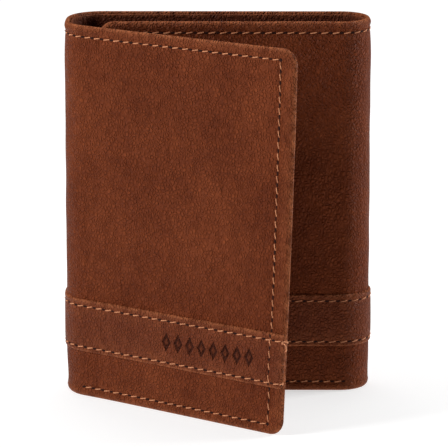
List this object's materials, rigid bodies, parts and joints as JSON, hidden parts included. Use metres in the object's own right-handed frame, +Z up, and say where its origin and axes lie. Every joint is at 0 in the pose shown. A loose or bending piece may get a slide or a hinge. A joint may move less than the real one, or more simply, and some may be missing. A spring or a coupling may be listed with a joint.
{
  "type": "trifold wallet",
  "caption": "Portrait trifold leather wallet with a sewn band, note pocket, card pockets and identity window, standing part open.",
  "frame": {"origin": "middle of the centre panel's lower edge, halfway through its outer leather", "axes": "+Z up along the standing wallet's height, +X right along the centre panel, +Y away from the flap"},
  "size_m": [0.0859, 0.0588, 0.105],
  "materials": {
    "outer_leather": "waxed brown grain leather with light worn edges",
    "band_leather": "the same leather, a little lighter, with a pressed row of lozenges",
    "inner_leather": "smooth thin brown leather",
    "thread": "waxed tan polyester thread",
    "lining_cloth": "fine woven brown lining",
    "stiffener_board": "bonded fibre board",
    "clear_window": "clear flexible plastic film"
  },
  "bodies": {
    "centre": {"back_leather": "outer_leather", "back_band": "band_leather", "back_thread": "thread", "centre_stiffener": "stiffener_board", "centre_note_lining": "lining_cloth", "centre_turned_edge": "outer_leather", "centre_facing": "inner_leather", "centre_slip_pocket": "inner_leather", "id_pocket_spacer": "inner_leather", "id_window": "clear_window", "id_window_frame": "inner_leather"},
    "left_rear_fold": {"left_rear_fold_leather": "outer_leather", "left_rear_fold_lining": "inner_leather", "left_rear_fold_band": "band_leather", "left_rear_fold_thread": "thread"},
    "flap": {"left_front_fold_leather": "outer_leather", "left_front_fold_lining": "inner_leather", "left_front_fold_band": "band_leather", "left_front_fold_thread": "thread", "flap_leather": "outer_leather", "flap_band": "band_leather", "flap_thread": "thread", "flap_stiffener": "stiffener_board", "flap_note_lining": "lining_cloth", "flap_turned_edge": "outer_leather", "flap_facing": "inner_leather", "flap_top_card_pocket": "inner_leather", "flap_middle_card_pocket": "inner_leather", "flap_bottom_card_pocket": "inner_leather"},
    "right_fold": {"right_fold_leather": "outer_leather", "right_fold_lining": "inner_leather", "right_fold_band": "band_leather", "right_fold_thread": "thread"},
    "tuck_panel": {"tuck_leather": "outer_leather", "tuck_band": "band_leather", "tuck_thread": "thread", "tuck_stiffener": "stiffener_board", "tuck_note_lining": "lining_cloth", "tuck_turned_edge": "outer_leather", "tuck_facing": "inner_leather", "tuck_top_card_pocket": "inner_leather", "tuck_middle_card_pocket": "inner_leather", "tuck_bottom_card_pocket": "inner_leather"}
  },
  "joints": [
    {"name": "left_rear_fold_hinge", "type": "hinge", "parent": "centre", "child": "left_rear_fold", "pos_m": [-0.03907, -0.00243, 0.0525], "axis": [0, 0, -1], "range_deg": [0, 90]},
    {"name": "flap_hinge", "type": "hinge", "parent": "left_rear_fold", "child": "flap", "pos_m": [-0.04022, -0.01711, 0.0525], "axis": [0, 0, -1], "range_deg": [-28, 58]},
    {"name": "right_rear_fold_hinge", "type": "hinge", "parent": "centre", "child": "right_fold", "pos_m": [0.0395, -0.002, 0.0525], "axis": [0, 0, 1], "range_deg": [0, 59.4]},
    {"name": "tuck_panel_hinge", "type": "hinge", "parent": "right_fold", "child": "tuck_panel", "pos_m": [0.0395, -0.013, 0.0525], "axis": [0, 0, 1], "range_deg": [0, 14.4]}
  ],
  "couplings": [
    {"joint": "right_rear_fold_hinge", "follows": "left_rear_fold_hinge", "ratio": 0.66},
    {"joint": "tuck_panel_hinge", "follows": "left_rear_fold_hinge", "ratio": 0.16}
  ]
}
